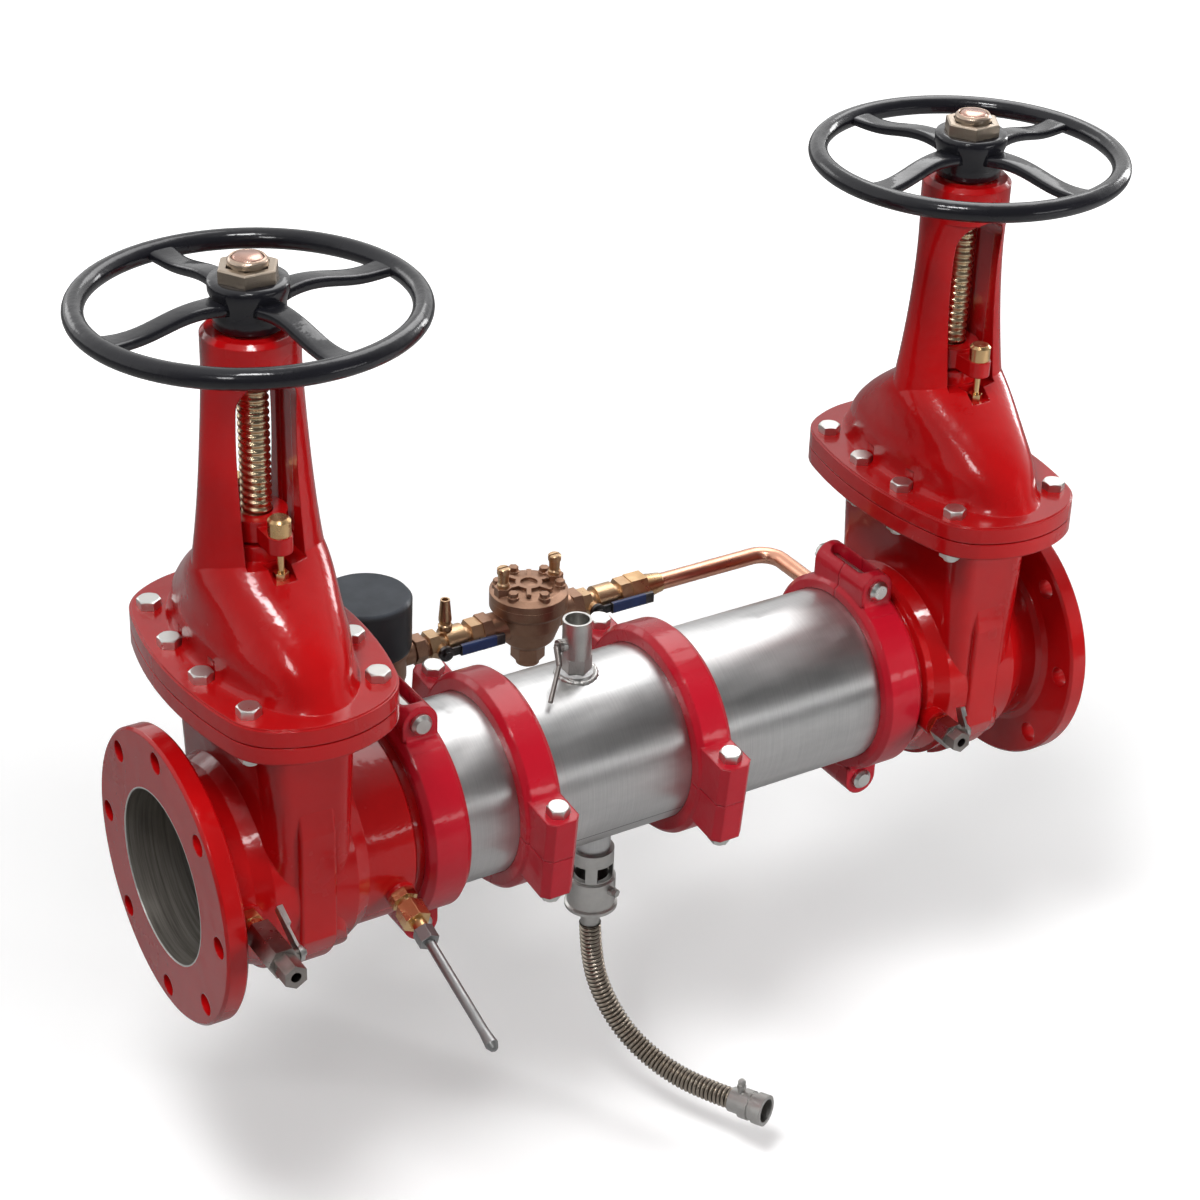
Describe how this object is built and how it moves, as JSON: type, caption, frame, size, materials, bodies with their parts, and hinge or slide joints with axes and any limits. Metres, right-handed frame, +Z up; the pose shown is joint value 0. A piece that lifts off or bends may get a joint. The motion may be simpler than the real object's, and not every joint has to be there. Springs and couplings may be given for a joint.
{
  "type": "reduced pressure detector assembly",
  "caption": "Backflow preventer with two rising stem gate valves, two swing checks in a grooved tube body, a relief port with hose, and a metered bypass line.",
  "frame": {"origin": "centre of the inlet flange's sealing face", "axes": "+X along the pipe from inlet to outlet, +Y towards the bypass line, +Z up"},
  "size_m": [1.2936, 0.6369, 1.18],
  "materials": {
    "valve_red": "gloss enamel",
    "coupling_red": "satin enamel",
    "wheel_black": "satin enamel",
    "gate_iron": "coated",
    "bronze": "cast and dull",
    "brass": "turned",
    "stem_brass": "turned and oiled",
    "stainless": "brushed round the pipe",
    "stainless_cast": "cast",
    "zinc": "zinc plated",
    "rubber": "matte",
    "hose_steel": "ribbed stainless",
    "register_black": "satin",
    "copper": "drawn copper",
    "grip_blue": "dipped vinyl on steel"
  },
  "bodies": {
    "line": {"inlet_valve_body": "valve_red", "inlet_bonnet": "valve_red", "outlet_valve_body": "valve_red", "outlet_bonnet": "valve_red", "valve_seat_rings": "bronze", "bonnet_seals": "rubber", "bonnet_fasteners": "zinc", "gland_followers": "valve_red", "gland_studs": "brass", "inlet_coupling_front": "coupling_red", "inlet_coupling_rear": "coupling_red", "outlet_coupling_front": "coupling_red", "outlet_coupling_rear": "coupling_red", "first_clamp_upper": "coupling_red", "first_clamp_lower": "coupling_red", "second_clamp_upper": "coupling_red", "second_clamp_lower": "coupling_red", "coupling_gaskets": "rubber", "coupling_fasteners": "zinc", "first_check_housing": "stainless", "relief_housing": "stainless", "second_check_housing": "stainless", "check_seats": "stainless_cast", "check_pins": "zinc", "check_springs": "zinc", "air_gap_body": "stainless_cast", "drain_funnel": "stainless_cast", "drain_hose": "hose_steel", "hose_end": "stainless_cast", "inlet_cock_body": "brass", "outlet_cock_body": "brass", "top_cock_body": "stainless_cast", "drain_fitting": "brass", "drain_tube": "zinc", "bypass_inlet_line": "bronze", "meter_body": "bronze", "meter_register": "register_black", "upstream_ball_valve": "bronze", "bypass_device_body": "bronze", "bypass_device_cover": "bronze", "downstream_ball_valve": "bronze", "bypass_test_cocks": "bronze", "bypass_tube": "copper"},
    "inlet_wheel": {"inlet_handwheel": "wheel_black", "inlet_wheel_nut": "bronze", "inlet_yoke_nut": "bronze"},
    "inlet_gate": {"inlet_stem": "stem_brass", "inlet_wedge": "gate_iron"},
    "outlet_wheel": {"outlet_handwheel": "wheel_black", "outlet_wheel_nut": "bronze", "outlet_yoke_nut": "bronze"},
    "outlet_gate": {"outlet_stem": "stem_brass", "outlet_wedge": "gate_iron"},
    "first_check": {"first_clapper": "stainless_cast"},
    "second_check": {"second_clapper": "stainless_cast"},
    "inlet_cock": {"inlet_cock_lever": "zinc"},
    "outlet_cock": {"outlet_cock_lever": "zinc"},
    "top_cock": {"top_cock_lever": "zinc"},
    "upstream_lever": {"upstream_valve_lever": "grip_blue"},
    "downstream_lever": {"downstream_valve_lever": "grip_blue"}
  },
  "joints": [
    {"name": "inlet_wheel_turn", "type": "hinge", "parent": "line", "child": "inlet_wheel", "pos_m": [0.13, 0, 0.66], "axis": [0, 0, 1], "range_deg": [0, 8890]},
    {"name": "inlet_gate_slide", "type": "slide", "parent": "line", "child": "inlet_gate", "axis": [0, 0, 1], "range_m": [0, 0.21]},
    {"name": "outlet_wheel_turn", "type": "hinge", "parent": "line", "child": "outlet_wheel", "pos_m": [1.049, 0, 0.66], "axis": [0, 0, 1], "range_deg": [0, 8890]},
    {"name": "outlet_gate_slide", "type": "slide", "parent": "line", "child": "outlet_gate", "axis": [0, 0, 1], "range_m": [0, 0.21]},
    {"name": "first_clapper_swing", "type": "hinge", "parent": "line", "child": "first_check", "pos_m": [0.447, 0, 0.082], "axis": [0, -1, 0], "range_deg": [0, 62], "stiffness_Nm_per_rad": 1.5, "springref_deg": -20.05},
    {"name": "second_clapper_swing", "type": "hinge", "parent": "line", "child": "second_check", "pos_m": [0.681, 0, 0.082], "axis": [0, -1, 0], "range_deg": [0, 62], "stiffness_Nm_per_rad": 1.5, "springref_deg": -20.05},
    {"name": "inlet_cock_turn", "type": "hinge", "parent": "line", "child": "inlet_cock", "pos_m": [0.0675, -0.201, 0.002], "axis": [1, 0, 0], "range_deg": [-90, 0]},
    {"name": "outlet_cock_turn", "type": "hinge", "parent": "line", "child": "outlet_cock", "pos_m": [0.996, -0.1601, -0.026], "axis": [1, 0, 0], "range_deg": [-90, 0]},
    {"name": "top_cock_turn", "type": "hinge", "parent": "line", "child": "top_cock", "pos_m": [0.5092, 0, 0.152], "axis": [1, 0, 0], "range_deg": [-90, 0]},
    {"name": "upstream_lever_turn", "type": "hinge", "parent": "line", "child": "upstream_lever", "pos_m": [0.48, 0.2232, 0.0325], "axis": [0, 1, 0], "range_deg": [-90, 0]},
    {"name": "downstream_lever_turn", "type": "hinge", "parent": "line", "child": "downstream_lever", "pos_m": [0.7, 0.2232, 0.0325], "axis": [0, 1, 0], "range_deg": [-90, 0]}
  ],
  "couplings": [
    {"joint": "inlet_gate_slide", "follows": "inlet_wheel_turn", "m_per_rad": 0.0013528},
    {"joint": "outlet_gate_slide", "follows": "outlet_wheel_turn", "m_per_rad": 0.0013528}
  ]
}
